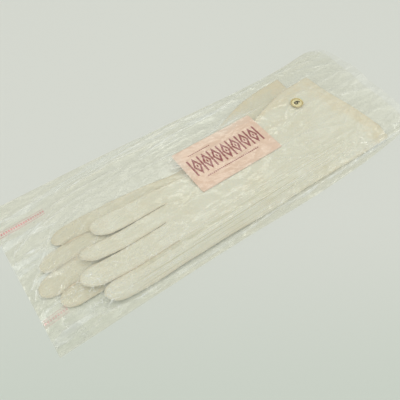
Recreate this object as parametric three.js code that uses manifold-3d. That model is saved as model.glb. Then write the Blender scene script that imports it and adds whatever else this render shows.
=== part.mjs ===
// A pair of long kid-leather dress gloves, laid flat one on the other in a clear film sleeve, with a card and a size stud.
// Millimetres, +Z up. X runs along the gloves: fingers at -X, arm openings and the sleeve's mouth at +X.
// The origin is the bottom centre of the sleeve, which lies on a table.
import * as THREE from "three";
import { mergeVertices } from "three/addons/utils/BufferGeometryUtils.js";
import Module from "manifold-3d";

const wasm = await Module();
wasm.setup();

// ---- Driving dimensions ----

const GAP = 0.3; // free space between pieces that lie on each other
const LEATHER = 0.5; // skin thickness
const FILM = 0.3; // sleeve film, thicker than the real 0.04 mm so that it is a sound solid

// The arm of the glove, from the knuckles to its opening: the folded edge is near, the seamed edge is far.
const arm = [
  { place: "knuckles", x: -84, near: -69.5, width: 78 },
  { place: "palm", x: -45, near: -70, width: 74 },
  { place: "wrist", x: -5, near: -71.6, width: 70 },
  { place: "forearm", x: 52, near: -71.8, width: 90 },
  { place: "widest", x: 106, near: -73.4, width: 108.5 },
];
const opening = { nearX: 159.5, farX: 149.5, near: -74.2, width: 113, corner: 5 };

// From the folded edge outwards. cleft is where the slit towards the next finger ends.
const fingers = [
  { name: "index", width: 18.4, tipX: -158.6, cleft: -84 },
  { name: "middle", width: 21.3, tipX: -169, cleft: -83 },
  { name: "ring", width: 17.5, tipX: -159.3, cleft: -73 },
  { name: "little", width: 20.8, tipX: -140.3 },
];
const SLIT = 0.8; // width of the slit between two fingers
const FINGER_TAPER = 0.94; // width where the round tip begins over the width at the root
const TIP_LENGTH = 0.8; // length of the round tip over the finger's width

const fourchette = { width: 6, thickness: 0.5, shortOfTip: 12, point: 14 };
const fingerQuirk = { length: 6, width: 4 };
const hem = { width: 9, thickness: 0.5, inset: 1.2 };

const thumb = { tipX: -103, rootX: -10, width: 24, inset: 6.5 };
const thumbHole = { x: -30, halfLength: 17, halfWidth: 9 };
const thumbQuirk = { length: 11, width: 7, fromHole: 2 };

// The lower glove lies nearer to the closed end and is turned a little, so its fingertips show.
const lowerPlace = { shiftX: -32, shiftY: 12, turn: THREE.MathUtils.degToRad(1.4), pivotX: -165, pivotY: 2.25 };

const card = { x: 9.7, y: 3.25, length: 95.6, width: 52.8, thickness: 0.4, corner: 1.2 };
const stud = { x: 110.4, y: 12.4, radius: 6.8, height: 2.2, base: 0.5, rim: 1.1, post: 1.2 };
const studFace = { thickness: 0.8 };
const washer = { radius: 3.2, thickness: 0.4 };

const sleeve = {
  length: 418,
  width: 157,
  weld: 1.5, // flat margin along the two long edges and the closed end
  mouthSlant: 22, // how much shorter the near side is than the far side
  nearCorner: 30,
  farCorner: 18,
  nearWall: 2, // width of the steep wall beside the folded edge
  endRun: 34, // length over which the front film rises from the closed end
};

// ---- Heights, from the table up ----

const FORK_ROOM = fourchette.thickness + 2 * GAP; // room between the two leaves of a glove
const THUMB_THICK = 2 * LEATHER;
const gloveHeight = 2 * LEATHER + FORK_ROOM;
const lowerZ = FILM + GAP;
const lowerThumbZ = lowerZ + gloveHeight + GAP;
const upperThumbZ = lowerThumbZ + THUMB_THICK + GAP;
const upperZ = upperThumbZ + THUMB_THICK + GAP;
const upperTop = upperZ + gloveHeight;
const cardZ = upperTop + GAP;
const studTop = cardZ + stud.height;

// ---- Solids ----

const TIP_SEGMENTS = 10; // steps round a fingertip
const EDGE_STEPS = 14; // steps along each edge of the arm

function solidOf(geometry) {
  const bare = geometry.clone();
  for (const name of ["normal", "uv"]) bare.deleteAttribute(name);
  const merged = mergeVertices(bare, 1e-4);
  return new wasm.Manifold(
    new wasm.Mesh({
      numProp: 3,
      vertProperties: merged.attributes.position.array,
      triVerts: new Uint32Array(merged.index.array),
    }),
  );
}

function geometryOf(solid) {
  const { vertProperties, triVerts } = solid.getMesh();
  const geometry = new THREE.BufferGeometry();
  geometry.setAttribute("position", new THREE.BufferAttribute(new Float32Array(vertProperties), 3));
  geometry.setIndex(new THREE.BufferAttribute(new Uint32Array(triVerts), 1));
  geometry.computeVertexNormals();
  return geometry;
}

/** A flat plate of the outline, from height z up by thickness. */
function plate(shape, z, thickness) {
  const options = { depth: thickness, bevelEnabled: false, curveSegments: TIP_SEGMENTS };
  return solidOf(new THREE.ExtrudeGeometry(shape, options).translate(0, 0, z));
}

function ellipse(x, y, radiusX, radiusY) {
  const shape = new THREE.Shape();
  shape.absellipse(x, y, radiusX, radiusY, 0, 2 * Math.PI);
  return shape;
}

function polygon(...corners) {
  return new THREE.Shape(corners.map(([x, y]) => new THREE.Vector2(x, y)));
}

/** A diamond with its long axis along X. */
function diamond(x, y, length, width) {
  return polygon([x - length / 2, y], [x, y - width / 2], [x + length / 2, y], [x, y + width / 2]);
}

// ---- Outlines of the hand ----

const knuckles = arm[0];
const farCornerY = opening.near + opening.width;

/** Palm and arm, without fingers. The folded edge's corner at the opening is rounded. */
function armShape() {
  const r = opening.corner;
  const near = arm.map(({ x, near }) => new THREE.Vector2(x, near));
  near.push(new THREE.Vector2(opening.nearX - r, opening.near));
  const far = arm.map(({ x, near, width }) => new THREE.Vector2(x, near + width));
  far.push(new THREE.Vector2(opening.farX, farCornerY));
  const corner = new THREE.QuadraticBezierCurve(
    new THREE.Vector2(opening.nearX - r, opening.near),
    new THREE.Vector2(opening.nearX, opening.near),
    new THREE.Vector2(opening.nearX, opening.near + r),
  );
  return new THREE.Shape([
    ...new THREE.SplineCurve(near).getPoints(EDGE_STEPS),
    ...corner.getPoints(4).slice(1),
    ...new THREE.SplineCurve(far).getPoints(EDGE_STEPS).reverse(),
  ]);
}

/** Each finger with its two sides, y0 and y1, in order from the folded edge. */
const fingerSpans = fingers.map((finger, i) => {
  const y0 = knuckles.near + fingers.slice(0, i).reduce((sum, { width }) => sum + width, 0);
  return { ...finger, y0, y1: y0 + finger.width };
});

/** A finger: sides that close in a little, then a half-oval tip. It runs into the palm by one tip's length. */
function fingerShape({ tipX, width, y0, y1 }) {
  const middle = (y0 + y1) / 2;
  const half = (width / 2) * FINGER_TAPER;
  const tipLength = width * TIP_LENGTH;
  const shape = new THREE.Shape();
  shape.moveTo(knuckles.x, y0);
  shape.lineTo(knuckles.x, y1);
  shape.lineTo(tipX + tipLength, middle + half);
  shape.absellipse(tipX + tipLength, middle, tipLength, half, Math.PI / 2, (3 * Math.PI) / 2, false);
  return shape;
}

/** The slit from the fingertips to the cleft between a finger and the next one. */
function slitShape({ y1, cleft, tipX }) {
  return polygon(
    [tipX - SLIT, y1 - SLIT / 2], [tipX - SLIT, y1 + SLIT / 2], [cleft, y1 + SLIT / 2], [cleft, y1 - SLIT / 2]);
}

/** One leaf of the trank, as a plate: arm, palm and the named fingers. */
function leaf(z, thickness, names) {
  const chosen = fingerSpans.filter(({ name }) => names.includes(name));
  const whole = chosen.reduce((made, finger) => made.add(plate(fingerShape(finger), z, thickness)),
    plate(armShape(), z, thickness));
  return chosen.slice(0, -1).reduce(
    (made, finger) => made.subtract(plate(slitShape(finger), z - GAP, thickness + 2 * GAP)), whole);
}

// ---- The pieces of one glove ----

const ALL = fingers.map(({ name }) => name);
const FOLD = 0.7; // thickness of the folded edge between the leaves
const thumbY = knuckles.near + thumb.inset + thumb.width / 2;
const thumbQuirkX = thumbHole.x - thumbHole.halfLength - thumbQuirk.fromHole - thumbQuirk.length / 2;

/** The trank: one skin folded along the index side, so its two leaves and the fold are one piece. */
function trank(backZ, palmZ, holes) {
  const bottom = Math.min(backZ, palmZ);
  const side = leaf(bottom, gloveHeight, ["index"]);
  const fold = side.subtract(side.translate([0, FOLD, 0]));
  const whole = leaf(backZ, LEATHER, ALL).add(leaf(palmZ, LEATHER, ALL)).add(fold);
  return holes.reduce((made, { shape, z }) => made.subtract(plate(shape, z - GAP, LEATHER + 2 * GAP)), whole);
}

/** The thumb, closed flat on the palm, with an oval neck that fills the palm's thumb hole. */
function thumbSolid(thumbZ, palmZ) {
  const half = thumb.width / 2;
  const tipHalf = half * FINGER_TAPER;
  const shape = new THREE.Shape();
  shape.moveTo(thumb.rootX - half, thumbY - half);
  shape.absellipse(thumb.rootX - half, thumbY, half, half, -Math.PI / 2, Math.PI / 2, false);
  shape.lineTo(thumb.tipX + half, thumbY + tipHalf);
  shape.absellipse(thumb.tipX + half, thumbY, half, tipHalf, Math.PI / 2, (3 * Math.PI) / 2, false);
  const neck = ellipse(thumbHole.x, thumbY, thumbHole.halfLength - GAP, thumbHole.halfWidth - GAP);
  const neckBottom = Math.min(thumbZ, palmZ);
  const neckTop = Math.max(thumbZ + THUMB_THICK, palmZ + LEATHER);
  return plate(shape, thumbZ, THUMB_THICK).add(plate(neck, neckBottom, neckTop - neckBottom));
}

/** A fourchette: the gusset strip along one side of a finger, folded flat between the leaves. */
function fourchetteSolid({ tipX, width, y0, y1 }, cleft, toward, z) {
  const edge = (toward > 0 ? y0 : y1) + toward * (LEATHER + GAP);
  const closing = (width / 2) * (1 - FINGER_TAPER);
  const endX = tipX + fourchette.shortOfTip;
  const shape = polygon(
    [cleft, edge],
    [cleft, edge + toward * fourchette.width],
    [endX + fourchette.point, edge + toward * (fourchette.width + closing)],
    [endX, edge + toward * (closing + 2)],
    [endX, edge + toward * (closing + 0.8)],
  );
  return plate(shape, z + LEATHER + GAP, fourchette.thickness);
}

/** The strip turned in round the arm opening, parallel to the slanted opening. */
function hemSolid(z) {
  const near = opening.near + opening.corner + hem.inset;
  const far = farCornerY - hem.inset - 1;
  const slant = (opening.nearX - opening.farX) / opening.width;
  const edgeX = (y) => opening.nearX - hem.inset - slant * (y - opening.near);
  const shape = polygon(
    [edgeX(near) - hem.width, near], [edgeX(near), near], [edgeX(far), far], [edgeX(far) - hem.width, far]);
  return plate(shape, z + LEATHER + GAP, hem.thickness);
}

// ---- The size stud, through the back of the upper glove ----

/** A cup with a raised rim, on a post that goes down into the glove. */
function studCup() {
  const { radius, rim, base, height, post } = stud;
  const postBottom = upperTop - LEATHER - GAP - washer.thickness;
  const profile = [
    [0, postBottom],
    [post, postBottom],
    [post, cardZ],
    [radius - 0.5, cardZ],
    [radius, cardZ + base],
    [radius - 0.1, cardZ + height - 0.3],
    [radius - rim / 2, cardZ + height],
    [radius - rim, cardZ + height - 0.5],
    [radius - rim, cardZ + base],
    [0, cardZ + base],
  ];
  const geometry = new THREE.LatheGeometry(profile.map(([r, z]) => new THREE.Vector2(r, z)), 32);
  return solidOf(geometry.rotateX(Math.PI / 2)).translate([stud.x, stud.y, 0]);
}

/** The disc with the size on it, seated in the cup. */
function studFaceSolid() {
  const r = stud.radius - stud.rim - GAP;
  return plate(ellipse(stud.x, stud.y, r, r), cardZ + stud.base + GAP, studFace.thickness);
}

/** The washer that holds the post from inside the glove. */
function studWasher() {
  const z = upperTop - LEATHER - GAP - washer.thickness;
  const bore = stud.post + GAP;
  return plate(ellipse(stud.x, stud.y, washer.radius, washer.radius), z, washer.thickness).subtract(
    plate(ellipse(stud.x, stud.y, bore, bore), z - GAP, washer.thickness + 2 * GAP),
  );
}

// ---- The card ----

function cardSolid() {
  const [x0, x1] = [card.x - card.length / 2, card.x + card.length / 2];
  const [y0, y1] = [card.y - card.width / 2, card.y + card.width / 2];
  const r = card.corner;
  const shape = new THREE.Shape();
  shape.moveTo(x0 + r, y0);
  shape.absarc(x1 - r, y0 + r, r, -Math.PI / 2, 0, false);
  shape.absarc(x1 - r, y1 - r, r, 0, Math.PI / 2, false);
  shape.absarc(x0 + r, y1 - r, r, Math.PI / 2, Math.PI, false);
  shape.absarc(x0 + r, y0 + r, r, Math.PI, (3 * Math.PI) / 2, false);
  return plate(shape, cardZ, card.thickness);
}

// ---- The sleeve ----

const halfLength = sleeve.length / 2;
const halfWidth = sleeve.width / 2;

/** Plan of the sleeve: square at the closed end, slanted and round-cornered at the mouth. */
function sleevePlan() {
  const nearX = halfLength - sleeve.mouthSlant;
  const [nearR, farR] = [sleeve.nearCorner, sleeve.farCorner];
  const slant = sleeve.mouthSlant / sleeve.width;
  const shape = new THREE.Shape();
  shape.moveTo(-halfLength, -halfWidth);
  shape.lineTo(nearX - nearR, -halfWidth);
  shape.quadraticCurveTo(nearX, -halfWidth, nearX + slant * nearR, -halfWidth + nearR);
  shape.lineTo(halfLength - slant * farR, halfWidth - farR);
  shape.quadraticCurveTo(halfLength, halfWidth, halfLength - farR, halfWidth);
  shape.lineTo(-halfLength, halfWidth);
  return shape;
}

// Section of the front film's inner face across the gloves. It is the same from the fingers to the mouth,
// so that the gloves can be drawn out under it.
const floorZ = FILM + GAP;
const shoulderZ = upperTop + 2 * GAP;
const crownZ = studTop + 1.5 * GAP;
const lowerShoulderZ = lowerZ + gloveHeight + 2 * GAP;
const cardFarY = card.y + card.width / 2;
const farPoints = [...arm.map(({ x, near, width }) => [x, near + width]), [opening.farX, farCornerY]];
const upperFarY = Math.max(...farPoints.map(([, y]) => y));
const turnSine = Math.sin(lowerPlace.turn);
const lowerFarY = Math.max(...farPoints.map(([x, y]) => y + lowerPlace.shiftY + (x - lowerPlace.pivotX) * turnSine));
const upperShoulderY = Math.max(upperFarY, cardFarY + 4) + 2;
const section = [
  [-halfWidth + sleeve.weld, floorZ],
  [-halfWidth + sleeve.weld + sleeve.nearWall, shoulderZ],
  [card.y - card.width / 2 - 4, shoulderZ],
  [stud.y - stud.radius - 2, crownZ],
  [stud.y + stud.radius + 2, crownZ],
  [cardFarY + 2, crownZ - 1],
  [upperShoulderY, shoulderZ],
  [Math.max(lowerFarY, upperShoulderY) + 3, lowerShoulderZ],
  [halfWidth - sleeve.weld, floorZ],
];

/** How much of the section's height the film has at a place along the sleeve. */
function rise(x) {
  const run = x + halfLength - sleeve.weld;
  return Math.sqrt(THREE.MathUtils.clamp(run / sleeve.endRun, 0, 1));
}

/** The front film: a sheet over the section, of even thickness, cut to the sleeve's plan. */
function frontFilm() {
  const runs = [0, 1, 3, 6, 10, 15, 21, sleeve.endRun, sleeve.endRun + 90, sleeve.endRun + 200, sleeve.length + 4];
  const xs = [-halfLength - 2, ...runs.map((run) => run - halfLength + sleeve.weld)];
  const across = [[-halfWidth - 2, floorZ], ...section, [halfWidth + 2, floorZ]];
  const inner = xs.map((x) => across.map(([y, z]) => new THREE.Vector3(x, y, floorZ + (z - floorZ) * rise(x))));
  const pick = (i, j) => inner[THREE.MathUtils.clamp(i, 0, xs.length - 1)][
    THREE.MathUtils.clamp(j, 0, across.length - 1)];
  const outer = inner.map((row, i) => row.map((point, j) => {
    const alongX = pick(i + 1, j).clone().sub(pick(i - 1, j));
    const alongY = pick(i, j + 1).clone().sub(pick(i, j - 1));
    return point.clone().addScaledVector(alongX.cross(alongY).normalize(), FILM);
  }));
  const [nx, ny] = [xs.length, across.length];
  const at = (layer, i, j) => (layer * nx + i) * ny + j;
  const faces = [];
  const quad = (a, b, c, d) => faces.push(a, b, c, a, c, d);
  for (let i = 0; i + 1 < nx; i++) {
    for (let j = 0; j + 1 < ny; j++) {
      quad(at(0, i, j), at(0, i, j + 1), at(0, i + 1, j + 1), at(0, i + 1, j));
      quad(at(1, i, j), at(1, i + 1, j), at(1, i + 1, j + 1), at(1, i, j + 1));
    }
    quad(at(0, i, 0), at(0, i + 1, 0), at(1, i + 1, 0), at(1, i, 0));
    quad(at(0, i + 1, ny - 1), at(0, i, ny - 1), at(1, i, ny - 1), at(1, i + 1, ny - 1));
  }
  for (let j = 0; j + 1 < ny; j++) {
    quad(at(0, 0, j + 1), at(0, 0, j), at(1, 0, j), at(1, 0, j + 1));
    quad(at(0, nx - 1, j), at(0, nx - 1, j + 1), at(1, nx - 1, j + 1), at(1, nx - 1, j));
  }
  const geometry = new THREE.BufferGeometry();
  const positions = [inner, outer].flat(2).flatMap((point) => point.toArray());
  geometry.setAttribute("position", new THREE.BufferAttribute(new Float32Array(positions), 3));
  geometry.setIndex(faces);
  return solidOf(geometry).intersect(plate(sleevePlan(), -1, studTop + 10));
}

// ---- Finishes ----

const KID = { color: 0xe6e1cb, roughness: 0.62, metalness: 0 };
const KID_INSIDE = { color: 0xe9dfc4, roughness: 0.75, metalness: 0 };
const BOARD = { color: 0xefcdb8, roughness: 0.7, metalness: 0 };
const GILT = { color: 0xd9be6a, roughness: 0.35, metalness: 0.6 };
const ENAMEL = { color: 0xe7d58c, roughness: 0.3, metalness: 0 };
const CLEAR = { color: 0xe8ece4, roughness: 0.15, metalness: 0, transparent: true, opacity: 0.3 };

// ---- Assembly ----

function add(parent, name, solid, finish) {
  const mesh = new THREE.Mesh(geometryOf(solid), new THREE.MeshStandardMaterial(finish));
  mesh.name = name;
  parent.add(mesh);
}

/** All the pieces of one glove that lies from height z up. backUp tells which way its back faces. */
function addGlove(group, side, z, backUp, thumbZ, studHoles) {
  const topLeafZ = z + LEATHER + FORK_ROOM;
  const [backZ, palmZ] = backUp ? [topLeafZ, z] : [z, topLeafZ];
  const holes = [
    { shape: ellipse(thumbHole.x, thumbY, thumbHole.halfLength, thumbHole.halfWidth), z: palmZ },
    { shape: diamond(thumbQuirkX, thumbY, thumbQuirk.length + 3 * GAP, thumbQuirk.width + 3 * GAP), z: palmZ },
    ...studHoles.map((shape) => ({ shape, z: backZ })),
  ];
  add(group, `${side}_trank`, trank(backZ, palmZ, holes), KID);
  add(group, `${side}_thumb`, thumbSolid(thumbZ, palmZ), KID);
  const quirk = diamond(thumbQuirkX, thumbY, thumbQuirk.length, thumbQuirk.width);
  add(group, `${side}_thumb_quirk`, plate(quirk, palmZ, LEATHER), KID_INSIDE);
  fingerSpans.slice(0, -1).forEach((finger, i) => {
    const next = fingerSpans[i + 1];
    const { cleft, y1 } = finger;
    const crotch = `${side}_fourchette_${finger.name}_${next.name}`;
    add(group, `${crotch}_a`, fourchetteSolid(finger, cleft, -1, z), KID_INSIDE);
    add(group, `${crotch}_b`, fourchetteSolid(next, cleft, 1, z), KID_INSIDE);
    const shape = diamond(cleft + GAP + fingerQuirk.length / 2, y1, fingerQuirk.length, fingerQuirk.width);
    add(group, `${side}_quirk_${finger.name}_${next.name}`,
      plate(shape, z + LEATHER + GAP, fourchette.thickness), KID_INSIDE);
  });
  add(group, `${side}_hem`, hemSolid(z), KID_INSIDE);
}

const upper = new THREE.Group();
addGlove(upper, "right", upperZ, true, upperThumbZ, [ellipse(stud.x, stud.y, stud.post + GAP, stud.post + GAP)]);
add(upper, "size_stud_cup", studCup(), GILT);
add(upper, "size_stud_face", studFaceSolid(), ENAMEL);
add(upper, "size_stud_washer", studWasher(), GILT);

const lower = new THREE.Group();
addGlove(lower, "left", lowerZ, false, lowerThumbZ, []);
const pivot = new THREE.Vector2(lowerPlace.pivotX, lowerPlace.pivotY);
const turned = pivot.clone().rotateAround(new THREE.Vector2(), lowerPlace.turn);
lower.rotation.z = lowerPlace.turn;
lower.position.set(pivot.x - turned.x + lowerPlace.shiftX, pivot.y - turned.y + lowerPlace.shiftY, 0);

const root = new THREE.Group();
add(root, "card", cardSolid(), BOARD);
add(root, "sleeve_back_film", plate(sleevePlan(), 0, FILM), CLEAR);
add(root, "sleeve_front_film", frontFilm(), CLEAR);
root.add(lower, upper);

export default root;
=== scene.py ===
import math
import random

import bmesh
import bpy
import numpy as np
from mathutils import Matrix, Vector, geometry, noise
from mathutils.bvhtree import BVHTree


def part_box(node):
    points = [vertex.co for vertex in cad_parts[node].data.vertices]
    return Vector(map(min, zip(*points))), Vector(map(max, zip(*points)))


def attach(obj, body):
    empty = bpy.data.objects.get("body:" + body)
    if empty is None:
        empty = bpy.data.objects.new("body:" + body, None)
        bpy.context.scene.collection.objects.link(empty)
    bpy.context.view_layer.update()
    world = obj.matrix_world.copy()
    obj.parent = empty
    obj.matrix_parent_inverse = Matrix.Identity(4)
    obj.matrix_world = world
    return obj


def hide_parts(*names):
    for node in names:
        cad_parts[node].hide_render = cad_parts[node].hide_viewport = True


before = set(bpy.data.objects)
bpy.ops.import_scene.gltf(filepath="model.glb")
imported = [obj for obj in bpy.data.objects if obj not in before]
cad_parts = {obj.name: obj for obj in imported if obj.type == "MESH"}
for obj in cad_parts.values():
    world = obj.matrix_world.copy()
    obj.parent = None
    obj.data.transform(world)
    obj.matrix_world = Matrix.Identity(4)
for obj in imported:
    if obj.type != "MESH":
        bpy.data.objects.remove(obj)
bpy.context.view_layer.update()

MM = 0.001

# ---------------------------------------------------------------------------------------------
# The studio. The pair lies on a pale seamless table under three soft lamps, three strips, whose
# light glints in the film, and an even sky.
# The camera looks down across the folded side, with the fingers towards the lower left.
# ---------------------------------------------------------------------------------------------


def aimed(place, yaw, pitch, roll=0.0):
    """The matrix of a lamp or camera at a place that looks along yaw, pitch degrees below level."""
    yaw, pitch, roll = math.radians(yaw), math.radians(pitch), math.radians(roll)
    ahead = Vector((math.cos(pitch) * math.cos(yaw), math.cos(pitch) * math.sin(yaw), -math.sin(pitch)))
    right = Vector((math.sin(yaw), -math.cos(yaw), 0.0))
    above = right.cross(ahead)
    matrix = Matrix((right, above, -ahead)).transposed().to_4x4() @ Matrix.Rotation(roll, 4, "Z")
    matrix.translation = place
    return matrix


camera_data = bpy.data.cameras.new("camera")
camera_data.lens = 39.36
camera_data.sensor_width = 36.0
camera_data.clip_start = 0.01
camera = bpy.data.objects.new("camera", camera_data)
camera.matrix_world = aimed((-0.17779, -0.20895, 0.33013), 53.84, 55.18, 0.22)
bpy.context.scene.collection.objects.link(camera)
bpy.context.scene.camera = camera
bpy.context.scene.view_settings.view_transform = "Standard"


def lamp(name, place, yaw, pitch, size, power, colour):
    data = bpy.data.lights.new(name, "AREA")
    data.shape = "RECTANGLE"
    data.size, data.size_y = size
    data.energy = power
    data.color = colour
    item = bpy.data.objects.new(name, data)
    item.matrix_world = aimed(place, yaw, pitch)
    bpy.context.scene.collection.objects.link(item)


lamp("window_far_left", (-0.25, 0.50, 1.05), -70, 62, (0.9, 0.5), 1.26, (1.0, 0.985, 0.95))
lamp("window_right", (1.05, 0.15, 1.0), -170, 44, (0.5, 0.5), 0.75, (1.0, 0.99, 0.96))
lamp("lamp_near", (-0.1, -0.95, 1.05), 84, 48, (0.9, 0.4), 1.95, (0.97, 1.0, 0.99))
lamp("strip_far", (0.45, 0.62, 0.95), -126, 52, (0.55, 0.05), 0.84, (1.0, 1.0, 0.98))
lamp("strip_left", (-0.75, 0.35, 0.80), -20, 44, (0.45, 0.05), 0.70, (1.0, 1.0, 0.98))
lamp("strip_right", (0.75, -0.30, 0.85), 155, 44, (0.40, 0.05), 0.60, (1.0, 1.0, 0.98))

world = bpy.data.worlds.new("sky")
bpy.context.scene.world = world
world.use_nodes = True
world.node_tree.nodes["Background"].inputs["Color"].default_value = (0.94, 0.96, 0.94, 1.0)
world.node_tree.nodes["Background"].inputs["Strength"].default_value = 0.668


class Signal:
    """One output socket of a finish. Sums, products and comparisons of signals add Math nodes."""

    def __init__(self, finish, socket):
        self.finish = finish
        self.socket = socket

    def math(self, operation, *values):
        return self.finish.add("ShaderNodeMath", {"operation": operation}, dict(enumerate(values)))

    def __add__(self, other):
        return self.math("ADD", self, other)

    def __radd__(self, other):
        return self.math("ADD", other, self)

    def __sub__(self, other):
        return self.math("SUBTRACT", self, other)

    def __rsub__(self, other):
        return self.math("SUBTRACT", other, self)

    def __mul__(self, other):
        return self.math("MULTIPLY", self, other)

    def __rmul__(self, other):
        return self.math("MULTIPLY", other, self)

    def __truediv__(self, other):
        return self.math("DIVIDE", self, other)

    def __abs__(self):
        return self.math("ABSOLUTE", self)

    def __lt__(self, other):
        return self.math("LESS_THAN", self, other)

    def __gt__(self, other):
        return self.math("GREATER_THAN", self, other)

    def at_most(self, other):
        return self.math("MINIMUM", self, other)

    def at_least(self, other):
        return self.math("MAXIMUM", self, other)

    def part_past_whole(self):
        """What is left over a whole number, which repeats from 0 to 1."""
        return self - self.math("FLOOR", self)

    def step(self, low, high):
        """0 below low and 1 above high, with a soft change between them. low may be the greater."""
        inputs = {"Value": self, "From Min": low, "From Max": high}
        settings = {"interpolation_type": "SMOOTHSTEP"}
        return self.finish.add("ShaderNodeMapRange", settings, inputs)


class Finish:
    """A procedural material: its node tree, and the one method that adds nodes to it."""

    def __init__(self, name):
        self.material = bpy.data.materials.new(name)
        self.material.use_nodes = True
        self.tree = self.material.node_tree
        self.tree.nodes.clear()

    def add(self, kind, settings=None, inputs=None, out=0):
        node = self.tree.nodes.new(kind)
        for key, value in (settings or {}).items():
            setattr(node, key, value)
        for key, value in (inputs or {}).items():
            if isinstance(value, Signal):
                self.tree.links.new(value.socket, node.inputs[key])
            else:
                node.inputs[key].default_value = value
        return Signal(self, node.outputs[out]) if len(node.outputs) else None

    def place(self):
        """Object coordinates, in metres."""
        return self.add("ShaderNodeTexCoord", out="Object")

    def stretched(self, scale, turn=0.0):
        """Object coordinates, turned about Z by degrees and then scaled."""
        inputs = {"Vector": self.place(), "Rotation": (0.0, 0.0, math.radians(turn)), "Scale": scale}
        return self.add("ShaderNodeMapping", {"vector_type": "POINT"}, inputs)

    def cloud(self, size, detail=2.0, vector=None, rough=0.5, bend=0.0):
        """Smooth noise, 0 to 1, with blots of the given size in metres."""
        inputs = {"Vector": vector or self.place(), "Scale": 1 / size, "Detail": detail, "Roughness": rough}
        inputs["Distortion"] = bend
        return self.add("ShaderNodeTexNoise", {}, inputs)

    def cells(self, size, feature="F1", vector=None):
        """Distance within cells of the given size."""
        settings = {"feature": feature}
        inputs = {"Vector": vector or self.place(), "Scale": 1 / size}
        return self.add("ShaderNodeTexVoronoi", settings, inputs)

    def mix(self, factor, first, second):
        inputs = {0: factor, 6: first, 7: second}
        return self.add("ShaderNodeMix", {"data_type": "RGBA"}, inputs, out=2)

    def saved(self, name):
        """A value kept on the mesh's points."""
        return self.add("ShaderNodeAttribute", {"attribute_name": name}, {}, out="Fac")

    def bump(self, height, distance, strength=1.0, over=None):
        inputs = {"Height": height, "Distance": distance, "Strength": strength}
        if over is not None:
            inputs["Normal"] = over
        return self.add("ShaderNodeBump", {}, inputs)

    def surface(self, **inputs):
        named = {key.replace("_", " ").title().replace("Ior", "IOR"): value for key, value in inputs.items()}
        return self.add("ShaderNodeBsdfPrincipled", {}, named)

    def finish(self, shader):
        self.add("ShaderNodeOutputMaterial", {}, {"Surface": shader})
        return self.material


table_finish = Finish("table_card")
table_grain = table_finish.cloud(0.004, 4.0)
table_tone = table_finish.cloud(0.5, 1.0)
table_sheet = table_finish.mix(
    0.75 * table_tone + 0.25 * table_grain,
    (0.722, 0.736, 0.682, 1.0),
    (0.744, 0.756, 0.704, 1.0),
)
# painted shade: the near part of the sheet is painted a little cooler and darker, in a pool that fades out
# again, for the light falling off towards the camera
towards_camera = table_finish.stretched((1.0, 1.0, 1.0), -53.8)
near_end = table_finish.add("ShaderNodeSeparateXYZ", {}, {"Vector": towards_camera})
near_painted_shade = near_end.step(-0.045, -0.285) * near_end.step(-1.3, -0.35)
table_colour = table_finish.mix(near_painted_shade, table_sheet, (0.632, 0.684, 0.612, 1.0))
table_shader = table_finish.surface(
    base_color=table_colour,
    roughness=0.62 + 0.06 * table_grain,
    specular_ior_level=0.25,
    normal=table_finish.bump(table_grain, 0.0001, 0.3),
)
table_finish.finish(table_shader)

table_mesh = bpy.data.meshes.new("table")
corners = [(-3.0, -3.0, 0.0), (3.0, -3.0, 0.0), (3.0, 3.0, 0.0), (-3.0, 3.0, 0.0)]
table_mesh.from_pydata(corners, [], [(0, 1, 2, 3)])
table_mesh.materials.append(table_finish.material)
table = bpy.data.objects.new("table", table_mesh)
bpy.context.scene.collection.objects.link(table)

# ---------------------------------------------------------------------------------------------
# Tranks. Each is one kid skin folded along the index side, cut with the fingers on it, and sewn
# round the fingertips and down the little-finger side. It is pressed flat, with the arm open.
# ---------------------------------------------------------------------------------------------

# stations along the arm, the folded edge at each, and the sewn edge
arm_x = np.array([-84.0, -45.0, -5.0, 52.0, 106.0, 155.0])
arm_near = np.array([-69.5, -70.0, -71.6, -71.8, -73.4, -74.2])
OPENING_WIDTH = 113.0
arm_far = arm_near + np.array([78.0, 74.0, 70.0, 90.0, 108.5, OPENING_WIDTH])
OPENING_NEAR_X = 159.5
OPENING_FAR_X = 149.5
# the near corner of the opening is round and the far one nearly sharp
CORNER = 5.0
FAR_CORNER = (149.0, 38.4)
# how wide the slits between the fingers stand open
SLIT = 0.55
FINGERS = (
    # name, width, tip, cleft towards the next finger
    ("index", 18.4, -158.6, -84.0),
    ("middle", 21.3, -169.0, -83.0),
    ("ring", 17.5, -159.3, -73.0),
    ("little", 20.8, -140.3, -84.0),
)
# how each finger lies: how far it swings from the fold by its middle, how far its tip leans on
# from there, and its width as a share of the cut one
RIGHT_LIE = ((-0.6, 3.4, 1.0), (-0.8, 5.2, 1.0), (-1.0, 6.4, 1.02), (0.2, 4.6, 1.04))
LEFT_LIE = ((6.4, 1.0, 1.10), (6.6, -2.0, 1.04), (6.6, -2.6, 1.04), (2.8, -0.2, 0.88))
KNUCKLES = -84.0
# a fingertip rounds off over this share of the finger's width
TIP_SHARE = 0.78
LEATHER = 0.5


def smooth(xs, ys, at):
    """A smooth line through stations, at the places asked for."""
    slopes = np.gradient(ys, xs)
    i = np.clip(np.searchsorted(xs, at) - 1, 0, len(xs) - 2)
    run = xs[i + 1] - xs[i]
    t = (at - xs[i]) / run
    start = (1 + 2 * t) * (1 - t) ** 2 * ys[i] + t * (1 - t) ** 2 * run * slopes[i]
    return start + t * t * (3 - 2 * t) * ys[i + 1] + t * t * (t - 1) * run * slopes[i + 1]


def even(points, step, closed=False):
    """The same line with points at equal steps."""
    points = np.asarray(points, float)
    if closed:
        points = np.vstack([points, points[:1]])
    lengths = np.linalg.norm(np.diff(points, axis=0), axis=1)
    along = np.concatenate([[0.0], np.cumsum(lengths)])
    count = max(3, int(round(along[-1] / step)))
    at = np.linspace(0.0, along[-1], count + 1)
    line = np.column_stack([np.interp(at, along, points[:, k]) for k in range(points.shape[1])])
    return line[:-1] if closed else line


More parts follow.
